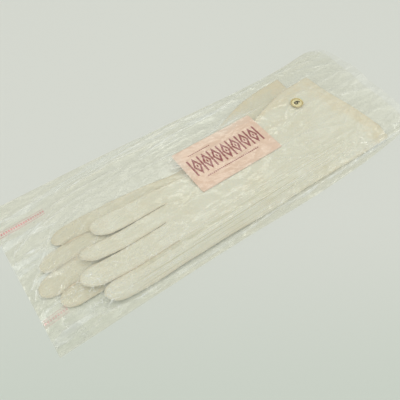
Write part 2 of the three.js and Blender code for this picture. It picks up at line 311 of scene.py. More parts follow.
def finger_sides(number, x, lies):
    """The near and far side of a finger at x."""
    width, tip = FINGERS[number][1:3]
    swing, lean, slim = lies[number]
    near = arm_near[0] + sum(finger[1] for finger in FINGERS[:number])
    middle = near + width / 2
    share = np.clip((KNUCKLES - x) / (KNUCKLES - tip), 0.0, 1.0)
    half = (width / 2 - SLIT / 2) * (1 - 0.05 * share + 0.02 * np.sin(np.pi * share))
    over = np.clip((x - tip) / (TIP_SHARE * width), 0.0, 1.0)
    half = half * (1 - (1 - over) ** 2.2) ** (1 / 2.1)
    bent = np.clip(share / 0.6, 0.0, 1.0)
    bent = bent * bent * (3 - 2 * bent)
    half = half * (1 - (1 - slim) * bent)
    middle = middle + swing * bent + lean * share ** 3.4
    return middle - half, middle + half


def finger_line(number, far_cleft, near_cleft, lies):
    """A finger's edge, from the far cleft round its tip to the near cleft."""
    width, tip = FINGERS[number][1:3]
    turn = np.linspace(0.0, 1.0, 30) ** 2
    near_tip = tip + turn * TIP_SHARE * width
    straight = np.arange(near_tip[-1] + 1.0, KNUCKLES - 0.5, 1.0)
    x = np.concatenate([near_tip, straight])
    low, high = finger_sides(number, x, lies)
    far = [(far_cleft, high[-1])] + list(zip(x[::-1], high[::-1]))
    near = list(zip(x[1:], low[1:])) + [(near_cleft, low[-1])]
    return far + near


def trank_line(lies):
    """The hand's edge from the near corner of the opening round to the far one, and the opening's edge."""
    x = np.linspace(KNUCKLES, OPENING_NEAR_X - CORNER, 120)
    near = list(zip(x, smooth(arm_x, arm_near, x)))
    turn = np.linspace(0, np.pi / 2, 8)
    corner_x, corner_y = OPENING_NEAR_X - CORNER, arm_near[-1] + CORNER
    near += [(corner_x + CORNER * math.sin(a), corner_y - CORNER * math.cos(a)) for a in turn]
    share = np.linspace(0.05, 0.985, 60)
    opening_x = OPENING_NEAR_X + (OPENING_FAR_X - OPENING_NEAR_X) * share
    opening_x = opening_x + 1.4 * np.sin(2 * np.pi * (share - 0.1)) * np.sin(np.pi * share)
    opening_y = arm_near[-1] + OPENING_WIDTH * share
    opening = list(zip(opening_x, opening_y))
    x = np.linspace(FAR_CORNER[0] - 0.5, KNUCKLES, 110)
    far = [FAR_CORNER] + list(zip(x, smooth(arm_x, arm_far, x)))
    fingers = []
    for number in (3, 2, 1, 0):
        far_cleft = KNUCKLES if number == 3 else FINGERS[number][3]
        near_cleft = KNUCKLES if number == 0 else FINGERS[number - 1][3]
        fingers += finger_line(number, far_cleft, near_cleft, lies)
    return far + fingers[1:-1] + near, opening


def inside(points, loop):
    """Whether each point is inside the closed line."""
    result = np.zeros(len(points), bool)
    px, py = points[:, 0], points[:, 1]
    ends = np.roll(loop, -1, axis=0)
    for (x0, y0), (x1, y1) in zip(loop, ends):
        if y0 != y1:
            crosses = (y0 > py) != (y1 > py)
            result ^= crosses & (px < (x1 - x0) * (py - y0) / (y1 - y0) + x0)
    return result


def edge_distance(points, loop):
    """How far each point is from the closed line."""
    best = np.full(len(points), np.inf)
    ends = np.roll(loop, -1, axis=0)
    for start, end in zip(loop, ends):
        along = end - start
        t = np.clip(((points - start) @ along) / max(along @ along, 1e-12), 0.0, 1.0)
        gap = points - start - t[:, None] * along
        best = np.minimum(best, np.einsum("ij,ij->i", gap, gap))
    return np.sqrt(best)


def filled(loop, step, rings):
    """Points and triangles that fill a closed line, finer by its edge; and the points' distances to it."""
    before, after = np.roll(loop, 1, axis=0), np.roll(loop, -1, axis=0)
    tangent = after - before
    tangent /= np.linalg.norm(tangent, axis=1)[:, None]
    inward = np.column_stack([-tangent[:, 1], tangent[:, 0]])
    extra = [loop + inward * ring for ring in rings]
    low, high = loop.min(axis=0), loop.max(axis=0)
    row = step * math.sqrt(3) / 2
    lines = []
    for number, y in enumerate(np.arange(low[1] + row / 2, high[1], row)):
        x = np.arange(low[0] + (number % 2) * step / 2, high[0], step)
        lines.append(np.column_stack([x, np.full(len(x), y)]))
    grid = np.vstack(lines)
    wanted = np.concatenate([np.full(len(e), 0.95 * ring) for e, ring in zip(extra, rings)]
                            + [np.full(len(grid), rings[-1] + 0.55 * step)])
    spread = np.vstack(extra + [grid])
    keep = inside(spread, loop) & (edge_distance(spread, loop) >= wanted)
    points = np.vstack([loop, spread[keep]])
    edges = [(i, (i + 1) % len(loop)) for i in range(len(loop))]
    made = geometry.delaunay_2d_cdt([Vector(p) for p in points], edges, [], 0, 1e-5)
    points = np.array([tuple(p) for p in made[0]])
    triangles = np.array(made[2])
    centres = points[triangles].mean(axis=1)
    return points, triangles[inside(centres, loop)], edge_distance(points, loop)


def ridged(x, y, size, stretch=1.0, turn=0.0, seed=0.0):
    """Sharp creases of noise: 1 on a crease and less beside it. Sizes in mm."""
    c, s = math.cos(math.radians(turn)), math.sin(math.radians(turn))
    u, v = (c * x + s * y) / (size * stretch), (c * y - s * x) / size
    return np.array([1 - abs(noise.noise(Vector((a, b, seed)))) * 2.2 for a, b in zip(u, v)])


def rolling(x, y, size, stretch=1.0, seed=0.0):
    """Soft noise, about -1 to 1. Sizes in mm."""
    return np.array([noise.noise(Vector((a / (size * stretch), b / size, seed))) for a, b in zip(x, y)])


def line_mask(points, path, width):
    """1 on an open line and 0 beyond its width."""
    best = np.full(len(points), np.inf)
    for start, end in zip(path[:-1], path[1:]):
        start, along = np.array(start), np.array(end) - np.array(start)
        t = np.clip(((points - start) @ along) / (along @ along), 0.0, 1.0)
        best = np.minimum(best, np.linalg.norm(points - start - t[:, None] * along, axis=1))
    return np.exp(-((best / width) ** 2))


def skin(name, top, bottom, rim, keep_open=(), saved=None):
    """A mesh of a top and a bottom sheet, each (points, triangles), joined round the rim. Lengths in mm.

    rim is the number of points round the edge, which come first in both sheets."""
    top_points, top_faces = top
    bottom_points, bottom_faces = bottom
    first = len(top_points)
    points = np.vstack([top_points, bottom_points])
    walls = []
    for i in range(rim):
        j = (i + 1) % rim
        if i not in keep_open:
            walls.append((i, first + i, first + j, j))
    faces = [tuple(f) for f in top_faces] + [tuple(first + f[::-1]) for f in bottom_faces] + walls
    mesh = bpy.data.meshes.new(name)
    mesh.from_pydata((points * MM).tolist(), [], faces)
    for key, values in (saved or {}).items():
        mesh.attributes.new(key, "FLOAT", "POINT").data.foreach_set("value", np.asarray(values, np.float32))
    for polygon in mesh.polygons:
        polygon.use_smooth = True
    mesh.update()
    item = bpy.data.objects.new(name, mesh)
    bpy.context.scene.collection.objects.link(item)
    return item


def kid(name, light, deep, tan, roughness, edge_tan):
    """Glazed glove kid: mottled cream, tanner at seams and cut edges, with pores and fine creasing, and
    painted shade in its creases.
    """
    made = Finish(name)
    blot = made.cloud(0.030, 3.0)
    fine = made.cloud(0.006, 4.0)
    tint = made.cloud(0.012, 3.0, made.stretched((0.35, 1.0, 1.0)))
    near_edge = made.saved("edge").step(5.0, 0.0)
    seam = made.saved("edge").step(1.1, 0.0)
    dip = made.saved("dip")
    body = made.mix(blot.step(0.35, 0.68), light, deep)
    warm = made.mix(edge_tan * near_edge * (0.5 + tint) + tint.step(0.52, 0.78) * 0.30, body, tan)
    # painted shade in the pressed creases and wrinkles (dip), with real wear in scattered blotches
    worn_and_crease_shaded = made.mix(dip * 0.35 + fine.step(0.62, 0.8) * 0.10, warm, tan)
    turned_in = made.saved("hem") * (0.50 + 0.8 * (tint - 0.5) + 0.5 * (fine - 0.5))
    hemmed = made.mix(turned_in, worn_and_crease_shaded, (0.760, 0.640, 0.420, 1.0))
    colour = made.mix(seam * 0.25, hemmed, tuple(0.72 * c for c in tan[:3]) + (1.0,))
    pores = made.cells(0.00055, "F1")
    creasing = made.cells(0.0021, "DISTANCE_TO_EDGE", made.stretched((0.7, 1.0, 1.0), 20)).step(0.0, 0.16)
    grain = made.bump(pores.step(0.1, 0.5), 0.00006, 0.55)
    folds = made.bump(creasing * 0.6 + fine * 0.9, 0.00016, 0.5, over=grain)
    shader = made.surface(
        base_color=colour,
        roughness=roughness + 0.10 * fine - 0.05 * tint,
        normal=folds,
        specular_ior_level=0.38,
        sheen_weight=0.12,
        sheen_roughness=0.5,
        subsurface_weight=0.06,
        subsurface_radius=(0.004, 0.0025, 0.0015),
        subsurface_scale=0.4,
    )
    return made.finish(shader)


upper_kid = kid(
    "kid_right",
    light=(0.768, 0.752, 0.628, 1.0),
    deep=(0.738, 0.712, 0.570, 1.0),
    tan=(0.700, 0.600, 0.410, 1.0),
    roughness=0.46,
    edge_tan=0.20,
)
lower_kid = kid(
    "kid_left",
    light=(0.700, 0.668, 0.522, 1.0),
    deep=(0.672, 0.628, 0.468, 1.0),
    tan=(0.690, 0.600, 0.420, 1.0),
    roughness=0.50,
    edge_tan=0.30,
)

LOWER_TURN = math.radians(1.4)
LOWER_PIVOT = (-165.0, 2.25)
LOWER_SHIFT = (-32.0, 12.0)


def as_cut(points):
    """The right glove lies as drawn."""
    return np.array(points, float)


def turned_under(points):
    """The left glove lies under it, nearer to the closed end of the sleeve and turned a little."""
    c, s = math.cos(LOWER_TURN), math.sin(LOWER_TURN)
    x, y = (np.array(points, float) - LOWER_PIVOT).T
    return np.column_stack([x * c - y * s, x * s + y * c]) + LOWER_PIVOT + LOWER_SHIFT


# far_pull is how far the far corner of the opening is drawn out, and stain is how far in from the
# opening the skin has yellowed, in mm; leather_area is one skin's, in square metres
GLOVES = {
    "right": {
        "place": as_cut,
        "finish": upper_kid,
        "seed": 3.0,
        "far_pull": 0.0,
        "lies": RIGHT_LIE,
        "stain": 21.0,
        "rests_on": ["left_trank_skin", "left_thumb_skin"],
        "leather_area": 0.0625,
    },
    "left": {
        "place": turned_under,
        "finish": lower_kid,
        "seed": 21.0,
        "far_pull": 9.0,
        "lies": LEFT_LIE,
        "stain": 16.0,
        "rests_on": ["sleeve_back"],
        "leather_area": 0.0625,
    },
}
EDGE_RINGS = (0.35, 0.9, 1.7)
# pressed creases: across the fingers at their joints, and on from a slit up the hand
JOINT_CREASES = (-148.0, -128.5, -125.5, -104.0, -101.5)
GAP_CREASE = ((-82, -50.2), (-62, -49.6), (-38, -48.0), (-14, -46.0), (8, -45.5))
EDGE_HALF = 0.30

for side, glove in GLOVES.items():
    hand_line, opening_line = trank_line(glove["lies"])
    hand_line = even(hand_line, 1.15)
    opening_line = even(opening_line, 1.3)
    glove["hand_points"] = len(hand_line) - 1
    loop = np.vstack([hand_line[:-1], opening_line])
    reach = np.clip((loop[:, 0] - 90) / 60, 0, 1) ** 2 * np.clip((loop[:, 1] + 10) / 48, 0, 1)
    loop[:, 0] += glove["far_pull"] * reach
    glove["loop"] = loop
    open_edges = set(range(len(hand_line) - 1, len(loop) - 1))
    low, high = (corner[2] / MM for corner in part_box(f"{side}_trank"))
    middle_z = (low + high) / 2
    half_z = (high - low) / 2
    points, triangles, reach_in = filled(loop, 1.9, EDGE_RINGS)
    x, y = points[:, 0], points[:, 1]
    puff = EDGE_HALF + (half_z - EDGE_HALF) * (1 - np.exp(-reach_in / 1.25))
    seed = glove["seed"]
    joint_creases = sum(
        np.exp(-(((x - at + 0.05 * (y + 40) + 1.5 * rolling(x, y, 9, seed=seed + 4)) / 0.8) ** 2))
        for at in JOINT_CREASES
    ) * (x < -90)
    gap_crease = line_mask(points, GAP_CREASE, 0.9) * np.clip((8 - x) / 60, 0, 1)
    wrist = ridged(x, y, 15, 3.0, 65, seed) ** 6 * np.exp(-(((x + 12) / 45) ** 2))
    along = ridged(x, y, 13, 6.0, 4, seed + 9) ** 7
    dip = np.clip(0.55 * joint_creases + gap_crease + 0.5 * wrist + 0.35 * along, 0, 1)
    swell = 0.5 + 0.5 * rolling(x, y, 26, 1.4, seed + 2)
    dish = np.clip(reach_in / 4, 0, 1) * (0.30 * swell + 0.30 * dip)
    shown_up = middle_z + puff - dish
    shown_down = middle_z - puff + 0.1 * np.clip(reach_in / 4, 0, 1) * swell
    placed = glove["place"](points)
    top = np.column_stack([placed, shown_up])
    bottom = np.column_stack([placed, shown_down])
    to_opening = points[:, None, :] - opening_line[None, ::3, :]
    from_opening = np.hypot(*to_opening.transpose(2, 0, 1)).min(axis=1)
    # the far edge of the arm has yellowed too, towards the cuff
    from_far_edge = 1.4 * reach_in + 0.3 * np.clip(100.0 - x, 0, None)
    from_opening = np.where(y < -20, from_opening, np.minimum(from_opening, from_far_edge))
    uneven = 1.0 + 0.35 * rolling(x, y, 22, seed=seed) + 0.25 * rolling(x, y, 6, seed=seed + 1)
    stain = glove["stain"] * uneven
    hem_tint = np.clip((stain - from_opening) / (0.4 * glove["stain"]), 0, 1)
    saved = {"edge": np.tile(reach_in, 2), "dip": np.tile(dip, 2), "hem": np.tile(hem_tint, 2)}
    trank = skin(f"{side}_trank_skin", (top, triangles), (bottom, triangles), len(loop), open_edges, saved)
    wall = trank.modifiers.new("thickness", "SOLIDIFY")
    wall.thickness = (LEATHER - 0.1) * MM
    wall.offset = -1.0
    trank.data.materials.append(glove["finish"])
    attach(trank, f"{side}_glove")
    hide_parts(f"{side}_trank")
    glove["trank"] = trank
    glove["bvh"] = BVHTree.FromPolygons((top * MM).tolist(), [tuple(f) for f in triangles])
    glove["high"] = high


def on_glove(glove, x, y, above=0.0):
    """The point of a glove's upper skin over x, y, lifted by above. Lengths in mm."""
    hit = glove["bvh"].ray_cast(Vector((x * MM, y * MM, 0.05)), Vector((0, 0, -1)))
    z = glove["high"] - 0.5 if hit[0] is None else hit[0][2] / MM
    return (x, y, z + above)


# ---------------------------------------------------------------------------------------------
# Thumbs. A thumb is a strip of kid folded and sewn to a tube, set into an oval hole in the palm
# and folded flat over it, with a small quirk let in where it bends.
# ---------------------------------------------------------------------------------------------

THUMB_TIP, THUMB_ROOT, THUMB_WIDTH = -103.0, -10.0, 24.0
THUMB_Y = arm_near[0] + 6.5 + THUMB_WIDTH / 2
# the heights between which each thumb lies, one on the other between the gloves
THUMB_LAYERS = {"right": (4.3, 5.3), "left": (3.0, 4.0)}


def blade(tip, root, width, middle, swell=0.03):
    """The outline of a flat thumb: round at both ends, a little fuller past the middle."""
    t = np.linspace(0, 1, 90)
    x = tip + (root - tip) * t
    tip_round = (1 - np.clip(1 - (x - tip) / (0.62 * width), 0, 1) ** 2.2) ** 0.48
    root_round = (1 - np.clip(1 - (root - x) / (0.55 * width), 0, 1) ** 2.2) ** 0.48
    half = width / 2 * (0.94 + swell * np.sin(np.pi * t)) * tip_round * root_round
    near = np.column_stack([x, middle - half])
    far = np.column_stack([x, middle + half])[-2:0:-1]
    return np.vstack([near, far])


def pad(name, outline, place, low, high, step, rings, seed, edge_height=0.2, saved_dip=0.0):
    """A small flat leather piece between two heights, with rounded edges."""
    loop = even(outline, step * 0.7, closed=True)
    area = np.sum(loop[:, 0] * np.roll(loop[:, 1], -1) - loop[:, 1] * np.roll(loop[:, 0], -1))
    if area < 0:
        loop = loop[::-1].copy()
    points, triangles, reach_in = filled(loop, step, rings)
    half_z = (high - low) / 2
    puff = edge_height * half_z + half_z * (1 - edge_height) * (1 - np.exp(-reach_in / 0.8))
    dent = np.clip(reach_in / 2, 0, 1) * (0.10 + 0.10 * rolling(points[:, 0], points[:, 1], 11, 1.5, seed))
    placed = place(points)
    top = np.column_stack([placed, (low + high) / 2 + puff - dent * half_z])
    bottom = np.column_stack([placed, (low + high) / 2 - puff])
    saved = {"edge": np.tile(reach_in, 2), "dip": np.full(2 * len(points), saved_dip)}
    return skin(name, (top, triangles), (bottom, triangles), len(loop), (), saved)


for side, glove in GLOVES.items():
    low, high = THUMB_LAYERS[side]
    outline = blade(THUMB_TIP, THUMB_ROOT, THUMB_WIDTH, THUMB_Y)
    thumb = pad(f"{side}_thumb_skin", outline, glove["place"], low, high, 1.6, (0.4, 1.0), glove["seed"] + 30)
    thumb.data.materials.append(glove["finish"])
    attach(thumb, f"{side}_glove")
    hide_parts(f"{side}_thumb")
    glove["thumb"] = thumb

# ---------------------------------------------------------------------------------------------
# Fourchettes, quirks and hems. Fourchettes are the narrow gussets sewn along the fingers' sides,
# quirks the diamonds at their clefts, and the hem is a strip turned in round the opening. All are
# the same skin, with the matt finish of its flesh side.
# ---------------------------------------------------------------------------------------------

inner_kid = kid(
    "kid_flesh_side",
    light=(0.780, 0.690, 0.520, 1.0),
    deep=(0.735, 0.630, 0.455, 1.0),
    tan=(0.660, 0.500, 0.315, 1.0),
    roughness=0.68,
    edge_tan=0.5,
)
THUMB_QUIRK_X = -54.5
# the hem's depth, and the y between which it is turned in
HEM_DEPTH = 9.0
HEM_FROM, HEM_TO = -67.5, 36.0


def gusset(number, toward, cleft, lies, peek):
    """A gusset's outline along one side of a finger, from the cleft to a point near the tip."""
    x = np.linspace(FINGERS[number][2] + 11.0, cleft, 50)
    low, high = finger_sides(number, x, lies)
    edge = low - peek if toward > 0 else high + peek
    share = np.clip((x - x[0]) / 14.0, 0, 1)
    inner = edge + toward * (0.8 + 5.2 * np.sqrt(share))
    return np.vstack([np.column_stack([x, edge]), np.column_stack([x, inner])[::-1]])


def diamond(x, y, length, width):
    corners = [(x - length / 2, y), (x, y - width / 2), (x + length / 2, y), (x, y + width / 2)]
    return np.array(corners)


for side, glove in GLOVES.items():
    glove["fittings"] = []
    for number in range(3):
        cleft = FINGERS[number][3]
        pair = f"{FINGERS[number][0]}_{FINGERS[number + 1][0]}"
        # the gussets beside the index finger show a little in its slit
        peek = 0.26 if number == 0 else 0.02
        for letter, finger, toward in (("a", number, -1), ("b", number + 1, 1)):
            node = f"{side}_fourchette_{pair}_{letter}"
            low, high = (corner[2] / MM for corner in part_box(node))
            outline = gusset(finger, toward, cleft, glove["lies"], peek)
            strip = pad(f"{node}_strip", outline, glove["place"], low, high,
                        1.5, (0.3,), glove["seed"] + number, 0.5)
            strip.data.materials.append(inner_kid)
            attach(strip, f"{side}_glove")
            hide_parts(node)
            glove["fittings"].append(strip)
        node = f"{side}_quirk_{pair}"
        low, high = (corner[2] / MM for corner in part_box(node))
        crotch_y = arm_near[0] + sum(finger[1] for finger in FINGERS[: number + 1])
        shape = diamond(cleft + 3.3, crotch_y, 6.0, 4.0)
        quirk = pad(f"{node}_diamond", shape, glove["place"], low, high, 0.8, (0.25,), 5.0, 0.5)
        quirk.data.materials.append(inner_kid)
        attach(quirk, f"{side}_glove")
        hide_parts(node)
        glove["fittings"].append(quirk)
    node = f"{side}_thumb_quirk"
    low, high = (corner[2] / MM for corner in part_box(node))
    shape = diamond(THUMB_QUIRK_X, THUMB_Y, 11.0, 7.0)
    quirk = pad(f"{node}_diamond", shape, glove["place"], low + 0.1, high - 0.1, 0.9, (0.25,), 6.0, 0.5)
    quirk.data.materials.append(inner_kid)
    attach(quirk, f"{side}_glove")
    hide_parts(node)
    glove["fittings"].append(quirk)
    node = f"{side}_hem"
    low, high = (corner[2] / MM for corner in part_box(node))
    edge = glove["loop"][glove["hand_points"]:]
    edge = edge[(edge[:, 1] > HEM_FROM) & (edge[:, 1] < HEM_TO)]
    shape = np.vstack([edge - (0.5, 0), (edge - (HEM_DEPTH, 0))[::-1]])
    hem = pad(f"{node}_strip", shape, glove["place"], low, high, 1.4, (0.3,), 8.0, 0.5)
    hem.data.materials.append(inner_kid)
    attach(hem, f"{side}_glove")
    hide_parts(node)
    glove["fittings"].append(hem)

# ---------------------------------------------------------------------------------------------
# Seams. Silk thread, sewn through both edges in small even stitches round every finger, down the
# little-finger side and along the hem.
# ---------------------------------------------------------------------------------------------


def stitch_tree():
    """Stitches laid end to end along a mesh's edges."""
    tree = bpy.data.node_groups.new("sewn_line", "GeometryNodeTree")
    tree.interface.new_socket("Seam", in_out="INPUT", socket_type="NodeSocketGeometry")
    for label, value in (("Spacing", 0.0017), ("Length", 0.0011), ("Width", 0.0003), ("Height", 0.00022)):
        socket = tree.interface.new_socket(label, in_out="INPUT", socket_type="NodeSocketFloat")
        socket.default_value = value
    tree.interface.new_socket("Thread", in_out="INPUT", socket_type="NodeSocketMaterial")
    tree.interface.new_socket("Stitches", in_out="OUTPUT", socket_type="NodeSocketGeometry")
    nodes, links = tree.nodes, tree.links
    given = nodes.new("NodeGroupInput")
    result = nodes.new("NodeGroupOutput")
    curve = nodes.new("GeometryNodeMeshToCurve")
    spaced = nodes.new("GeometryNodeResampleCurve")
    spaced.mode = "LENGTH"
    bead = nodes.new("GeometryNodeMeshIcoSphere")
    bead.inputs["Radius"].default_value = 0.5
    bead.inputs["Subdivisions"].default_value = 1
    size = nodes.new("ShaderNodeCombineXYZ")
    tangent = nodes.new("GeometryNodeInputTangent")
    turn = nodes.new("FunctionNodeAlignRotationToVector")
    turn.axis = "X"
    each = nodes.new("GeometryNodeInstanceOnPoints")
    real = nodes.new("GeometryNodeRealizeInstances")
    painted = nodes.new("GeometryNodeSetMaterial")
    links.new(given.outputs["Seam"], curve.inputs["Mesh"])
    links.new(curve.outputs["Curve"], spaced.inputs["Curve"])
    links.new(given.outputs["Spacing"], spaced.inputs["Length"])
    links.new(spaced.outputs["Curve"], each.inputs["Points"])
    links.new(bead.outputs["Mesh"], each.inputs["Instance"])
    links.new(given.outputs["Length"], size.inputs["X"])
    links.new(given.outputs["Width"], size.inputs["Y"])
    links.new(given.outputs["Height"], size.inputs["Z"])
    links.new(size.outputs["Vector"], each.inputs["Scale"])
    links.new(tangent.outputs["Tangent"], turn.inputs["Vector"])
    links.new(turn.outputs["Rotation"], each.inputs["Rotation"])
    links.new(each.outputs["Instances"], real.inputs["Geometry"])
    links.new(real.outputs["Geometry"], painted.inputs["Geometry"])
    links.new(given.outputs["Thread"], painted.inputs["Material"])
    links.new(painted.outputs["Geometry"], result.inputs["Stitches"])
    return tree


thread = Finish("silk_thread")
twist = thread.cloud(0.0006, 2.0)
thread_colour = thread.mix(twist, (0.62, 0.47, 0.29, 1.0), (0.76, 0.64, 0.44, 1.0))
thread.finish(thread.surface(
    base_color=thread_colour,
    roughness=0.42 + 0.1 * twist,
    normal=thread.bump(twist, 0.00005, 0.6),
))
sewn_line = stitch_tree()
# how far the stitches lie in from the fingers' edges, and from the opening in the hem's two rows
SEAM_INSET = 1.0
HEM_ROWS = (1.6, 8.4)


def sewn(name, paths, thread_material, **sizes):
    """Stitches along paths of points in mm, as a plain mesh."""
    points, edges = [], []
    for path in paths:
        first = len(points)
        points += [tuple(c * MM for c in p) for p in path]
        edges += [(first + i, first + i + 1) for i in range(len(path) - 1)]
    mesh = bpy.data.meshes.new(f"{name}_path")
    mesh.from_pydata(points, edges, [])
    item = bpy.data.objects.new(f"{name}_path", mesh)
    bpy.context.scene.collection.objects.link(item)
    modifier = item.modifiers.new("stitches", "NODES")
    modifier.node_group = sewn_line
    ids = {socket.name: socket.identifier for socket in sewn_line.interface.items_tree}
    modifier[ids["Thread"]] = thread_material
    for label, value in sizes.items():
        modifier[ids[label.title()]] = value
    graph = bpy.context.evaluated_depsgraph_get()
    made = bpy.data.meshes.new_from_object(item.evaluated_get(graph))
    bpy.data.objects.remove(item)
    made.name = name
    stitched = bpy.data.objects.new(name, made)
    bpy.context.scene.collection.objects.link(stitched)
    return stitched


def inset_path(loop, start, stop, inset):
    """Part of a closed line moved inwards."""
    before, after = np.roll(loop, 1, axis=0), np.roll(loop, -1, axis=0)
    tangent = after - before
    tangent /= np.linalg.norm(tangent, axis=1)[:, None]
    moved = loop + inset * np.column_stack([-tangent[:, 1], tangent[:, 0]])
    return moved[start:stop]


for side, glove in GLOVES.items():
    loop = glove["loop"]
    hand = glove["hand_points"]
    on_fold = (loop[:, 1] < -68.0) & (loop[:, 0] > KNUCKLES) & (np.arange(len(loop)) < hand)
    seam = inset_path(loop, 3, int(np.argmax(on_fold)), SEAM_INSET)
    keep = edge_distance(seam, loop) > 0.8
    runs, run = [], []
    for ok, point in zip(keep, glove["place"](seam)):
        if ok:
            run.append(on_glove(glove, point[0], point[1], 0.02))
        elif len(run) > 3:
            runs.append(run)
            run = []
    if len(run) > 3:
        runs.append(run)
    edge = loop[hand:]
    edge = edge[(edge[:, 1] > HEM_FROM + 1.0) & (edge[:, 1] < HEM_TO - 0.5)]
    for back in HEM_ROWS:
        moved = glove["place"](edge - (back, 0.0))
        runs.append([on_glove(glove, px, py, 0.02) for px, py in moved])
    stitches = sewn(f"{side}_glove_stitches", runs, thread.material)
    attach(stitches, f"{side}_glove")
    glove["fittings"].append(stitches)


def eased(at, start, end):
    """0 at start and 1 at end, with a soft change between them."""
    share = min(max((at - start) / (end - start), 0.0), 1.0)
    return share * share * (3 - 2 * share)


# the near edge of the upper glove has only the table under it, and sinks down beside the lower one;
# the far part of its hand has no thumbs under it, and lies closer on the lower glove
NEAR_SINK, FAR_SINK = 4.8, 1.8
upper = GLOVES["right"]
for item in [upper["trank"], upper["thumb"]] + upper["fittings"]:
    for vertex in item.data.vertices:
        x, y = vertex.co.x / MM, vertex.co.y / MM
        sunk = NEAR_SINK * eased(y, -58.0, -71.0) + FAR_SINK * eased(y, -20.0, -6.0) * eased(x, 62.0, 22.0)
        vertex.co.z -= sunk * MM
    item.data.update()

# ---------------------------------------------------------------------------------------------
# Size stud. A gilt brass cup with a rolled rim holds a lacquered disc with the size on it. Its
# post goes through the back of the glove and is riveted over a washer inside.
# ---------------------------------------------------------------------------------------------

cup_low, cup_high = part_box("size_stud_cup")
face_low, face_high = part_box("size_stud_face")
washer_low, washer_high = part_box("size_stud_washer")
stud_x, stud_y = (cup_low[0] + cup_high[0]) / 2, (cup_low[1] + cup_high[1]) / 2


def turned_ring(name, profile, x, y, steps=96):
    """A turned piece: the closed profile of (radius, height) in mm, spun about a vertical axis."""
    points, faces = [], []
    count = len(profile)
    for i in range(steps):
        a = 2 * math.pi * i / steps
        points += [(x + r * MM * math.cos(a), y + r * MM * math.sin(a), z * MM) for r, z in profile]
    for i in range(steps):
        j = (i + 1) % steps
        for k in range(count - 1):
            faces.append((i * count + k, j * count + k, j * count + k + 1, i * count + k + 1))
    mesh = bpy.data.meshes.new(name)
    mesh.from_pydata(points, [], faces)
    work = bmesh.new()
    work.from_mesh(mesh)
    bmesh.ops.remove_doubles(work, verts=work.verts, dist=1e-7)
    bmesh.ops.recalc_face_normals(work, faces=work.faces)
    work.to_mesh(mesh)
    work.free()
    for polygon in mesh.polygons:
        polygon.use_smooth = True
    item = bpy.data.objects.new(name, mesh)
    bpy.context.scene.collection.objects.link(item)
    return item


gilt = Finish("gilt_brass")
rub = gilt.cloud(0.0016, 3.0)
scratch = gilt.cloud(0.0004, 2.0, gilt.stretched((0.15, 1.0, 1.0), 30))
gilt_colour = gilt.mix(rub.step(0.35, 0.75), (0.84, 0.72, 0.38, 1.0), (0.68, 0.54, 0.25, 1.0))
gilt.finish(gilt.surface(
    base_color=gilt_colour,
    metallic=0.9 - 0.15 * rub,
    roughness=0.24 + 0.2 * rub,
    normal=gilt.bump(scratch, 0.00002, 0.5),
))

rim_top = cup_high[2] / MM
radius = (cup_high[0] - cup_low[0]) / 2 / MM
post_low = cup_low[2] / MM
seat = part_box("right_trank")[1][2] / MM + 0.3
ROLL = 0.62
arc = [math.radians(a) for a in range(-70, 181, 18)]
rim_profile = [(radius - ROLL + ROLL * math.cos(a), rim_top - ROLL + ROLL * math.sin(a)) for a in arc]
POST = 1.2
cup_profile = (
    [(0.0, post_low), (POST - 0.2, post_low), (POST, post_low + 0.15), (POST, seat)]
    + [(radius - 0.9, seat - 0.1), (radius - 0.35, seat + 0.12)]
    + rim_profile
    + [(radius - 1.25, seat + 0.75), (radius - 1.35, seat + 0.45), (0.0, seat + 0.45)]
)
cup = turned_ring("size_stud_rim", cup_profile, stud_x, stud_y)
cup.data.materials.append(gilt.material)
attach(cup, "right_glove")
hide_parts("size_stud_cup")

lacquer = Finish("lacquered_disc")
bloom = lacquer.cloud(0.003, 3.0)
lacquer_colour = lacquer.mix(bloom, (0.86, 0.76, 0.42, 1.0), (0.90, 0.82, 0.52, 1.0))
lacquer.finish(lacquer.surface(
    base_color=lacquer_colour,
    roughness=0.26 + 0.1 * bloom,
    coat_weight=0.5,
    coat_roughness=0.12,
    metallic=0.25,
    normal=lacquer.bump(bloom, 0.00004, 0.4),
))
disc = (face_high[0] - face_low[0]) / 2 / MM
disc_low = face_low[2] / MM - 0.05
DISC_THICK, DOME = 0.95, 0.22
dome = [(disc * s, disc_low + DISC_THICK + DOME * (1 - s * s)) for s in np.linspace(0, 0.96, 12)]
disc_profile = [(0.0, disc_low)] + [(disc - 0.05, disc_low), (disc, disc_low + 0.1), (disc, disc_low + 0.9)]
disc_profile += dome[::-1]
face = turned_ring("size_stud_disc", disc_profile, stud_x, stud_y)
face.data.materials.append(lacquer.material)
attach(face, "right_glove")
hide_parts("size_stud_face")

ink = Finish("stud_numeral_ink")
ink_tone = ink.cloud(0.0006, 2.0)
ink.finish(ink.surface(
    base_color=ink.mix(ink_tone, (0.016, 0.010, 0.002, 1.0), (0.034, 0.022, 0.004, 1.0)),
    roughness=0.35 + 0.1 * ink_tone,
    normal=ink.bump(ink_tone, 0.00002, 0.4),
))
# the numeral is one broad stroke, down from its top and once round the bowl; its top points up
# the arm, to the opening
STROKE, BOWL, INK_HEIGHT = 1.45, 1.55, 0.12
tail = [(1.35, 2.35), (0.75, 2.65), (0.10, 2.60), (-0.55, 2.15), (-1.05, 1.40), (-1.38, 0.50), (-1.52, -0.40)]
bowl = [(BOWL * math.cos(a), -1.15 + BOWL * math.sin(a)) for a in np.linspace(math.pi, 2.93 * math.pi, 26)]
stroke = even(np.array(tail + bowl), 0.22)
run = np.gradient(stroke, axis=0)
run /= np.linalg.norm(run, axis=1)[:, None]
beside = STROKE / 2 * np.column_stack([-run[:, 1], run[:, 0]])
points, faces = [], []
for middle, out in zip(stroke, beside):
    for (px, py), raised in ((middle + out, 0), (middle + out, 1), (middle - out, 1), (middle - out, 0)):
        along, across = py - 0.15, -px
        fall = DOME * (along * along + across * across) / (disc * disc)
        z = disc_low + DISC_THICK + DOME - fall + 0.02 + INK_HEIGHT * raised
        points.append((stud_x + along * MM, stud_y + across * MM, z * MM))
